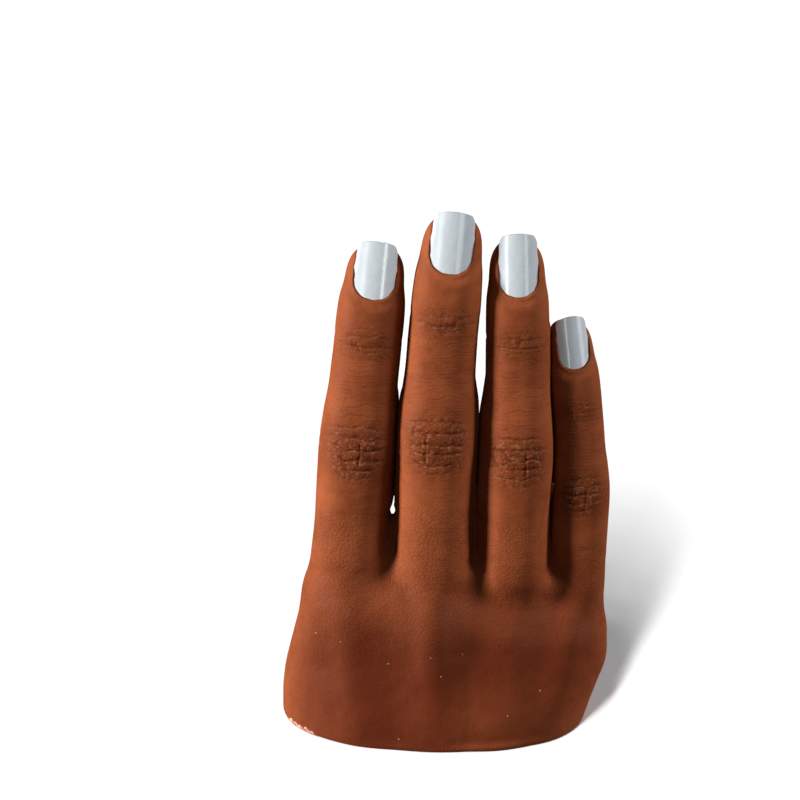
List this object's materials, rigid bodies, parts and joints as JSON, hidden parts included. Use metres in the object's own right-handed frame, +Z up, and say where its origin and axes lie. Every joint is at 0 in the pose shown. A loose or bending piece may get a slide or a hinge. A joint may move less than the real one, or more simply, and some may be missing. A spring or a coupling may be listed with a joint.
{
  "type": "nail practice hand",
  "caption": "Silicone right hand without a thumb for practising manicures: bendable fingers on an inner armature, slide-in nail tips and a flat cut base.",
  "frame": {"origin": "on the flat cut base, near its centre", "axes": "+Z up along the fingers, -Y out of the back of the hand, +X towards the little finger"},
  "size_m": [0.083, 0.0383, 0.1329],
  "materials": {
    "silicone": "dark brown, satin skin texture",
    "nail": "pale blue-grey gloss varnish",
    "armature": "natural moulded plastic",
    "steel": "plain pin"
  },
  "bodies": {
    "palm": {"palm_skin": "silicone", "palm_core": "armature", "knuckle_skin": "silicone", "index_knuckle_pin": "steel", "middle_knuckle_pin": "steel", "ring_knuckle_pin": "steel", "little_knuckle_pin": "steel"},
    "index_proximal": {"index_proximal_bone": "armature", "index_proximal_skin": "silicone", "index_middle_sleeve": "silicone", "index_middle_pin": "steel"},
    "index_middle": {"index_middle_bone": "armature", "index_middle_skin": "silicone", "index_tip_sleeve": "silicone", "index_tip_pin": "steel"},
    "index_distal": {"index_distal_bone": "armature", "index_tip_skin": "silicone"},
    "index_nail": {"index_nail": "nail"},
    "middle_proximal": {"middle_proximal_bone": "armature", "middle_proximal_skin": "silicone", "middle_middle_sleeve": "silicone", "middle_middle_pin": "steel"},
    "middle_middle": {"middle_middle_bone": "armature", "middle_middle_skin": "silicone", "middle_tip_sleeve": "silicone", "middle_tip_pin": "steel"},
    "middle_distal": {"middle_distal_bone": "armature", "middle_tip_skin": "silicone"},
    "middle_nail": {"middle_nail": "nail"},
    "ring_proximal": {"ring_proximal_bone": "armature", "ring_proximal_skin": "silicone", "ring_middle_sleeve": "silicone", "ring_middle_pin": "steel"},
    "ring_middle": {"ring_middle_bone": "armature", "ring_middle_skin": "silicone", "ring_tip_sleeve": "silicone", "ring_tip_pin": "steel"},
    "ring_distal": {"ring_distal_bone": "armature", "ring_tip_skin": "silicone"},
    "ring_nail": {"ring_nail": "nail"},
    "little_proximal": {"little_proximal_bone": "armature", "little_proximal_skin": "silicone", "little_middle_sleeve": "silicone", "little_middle_pin": "steel"},
    "little_middle": {"little_middle_bone": "armature", "little_middle_skin": "silicone", "little_tip_sleeve": "silicone", "little_tip_pin": "steel"},
    "little_distal": {"little_distal_bone": "armature", "little_tip_skin": "silicone"},
    "little_nail": {"little_nail": "nail"}
  },
  "joints": [
    {"name": "index_knuckle_hinge", "type": "hinge", "parent": "palm", "child": "index_proximal", "pos_m": [-0.02304, -0.0012, 0.0336], "axis": [-0.9943, 0, 0.1063], "range_deg": [0, 35], "deforming": ["knuckle_skin"]},
    {"name": "index_middle_hinge", "type": "hinge", "parent": "index_proximal", "child": "index_middle", "pos_m": [-0.0185, 0.00029, 0.07603], "axis": [-0.9943, 0, 0.1063], "range_deg": [0, 60], "deforming": ["index_middle_sleeve"]},
    {"name": "index_tip_hinge", "type": "hinge", "parent": "index_middle", "child": "index_distal", "pos_m": [-0.01568, 0.00122, 0.10247], "axis": [-0.9943, 0, 0.1063], "range_deg": [0, 40], "deforming": ["index_tip_sleeve"]},
    {"name": "index_nail_slide", "type": "slide", "parent": "index_distal", "child": "index_nail", "axis": [0.1175, 0.1045, 0.9876], "range_m": [0, 0.006]},
    {"name": "middle_knuckle_hinge", "type": "hinge", "parent": "palm", "child": "middle_proximal", "pos_m": [-0.00086, -0.002, 0.0358], "axis": [-0.9984, 0, 0.0558], "range_deg": [0, 35], "deforming": ["knuckle_skin"]},
    {"name": "middle_middle_hinge", "type": "hinge", "parent": "middle_proximal", "child": "middle_middle", "pos_m": [0.00148, -0.00053, 0.07781], "axis": [-0.9984, 0, 0.0558], "range_deg": [0, 60], "deforming": ["middle_middle_sleeve"]},
    {"name": "middle_tip_hinge", "type": "hinge", "parent": "middle_middle", "child": "middle_distal", "pos_m": [0.00316, 0.00052, 0.10774], "axis": [-0.9984, 0, 0.0558], "range_deg": [0, 40], "deforming": ["middle_tip_sleeve"]},
    {"name": "middle_nail_slide", "type": "slide", "parent": "middle_distal", "child": "middle_nail", "axis": [0.0828, 0.1045, 0.9911], "range_m": [0, 0.006]},
    {"name": "ring_knuckle_hinge", "type": "hinge", "parent": "palm", "child": "ring_proximal", "pos_m": [0.01827, -0.0008, 0.0316], "axis": [-1, 0, 0.007], "range_deg": [0, 35], "deforming": ["knuckle_skin"]},
    {"name": "ring_middle_hinge", "type": "hinge", "parent": "ring_proximal", "child": "ring_middle", "pos_m": [0.01856, 0.00065, 0.07317], "axis": [-1, 0, 0.007], "range_deg": [0, 60], "deforming": ["ring_middle_sleeve"]},
    {"name": "ring_tip_hinge", "type": "hinge", "parent": "ring_middle", "child": "ring_distal", "pos_m": [0.01877, 0.00165, 0.10186], "axis": [-1, 0, 0.007], "range_deg": [0, 40], "deforming": ["ring_tip_sleeve"]},
    {"name": "ring_nail_slide", "type": "slide", "parent": "ring_distal", "child": "ring_nail", "axis": [-0.0277, 0.1044, 0.9941], "range_m": [0, 0.006]},
    {"name": "little_knuckle_hinge", "type": "hinge", "parent": "palm", "child": "little_proximal", "pos_m": [0.035, 0.0026, 0.0275], "axis": [-0.999, 0, -0.0436], "range_deg": [0, 35], "deforming": ["knuckle_skin"]},
    {"name": "little_middle_hinge", "type": "hinge", "parent": "little_proximal", "child": "little_middle", "pos_m": [0.03348, 0.00351, 0.06225], "axis": [-0.999, 0, -0.0436], "range_deg": [0, 60], "deforming": ["little_middle_sleeve"]},
    {"name": "little_tip_hinge", "type": "hinge", "parent": "little_middle", "child": "little_distal", "pos_m": [0.03252, 0.00409, 0.08423], "axis": [-0.999, 0, -0.0436], "range_deg": [0, 40], "deforming": ["little_tip_sleeve"]},
    {"name": "little_nail_slide", "type": "slide", "parent": "little_distal", "child": "little_nail", "axis": [-0.1341, 0.0951, 0.9864], "range_m": [0, 0.006]}
  ]
}
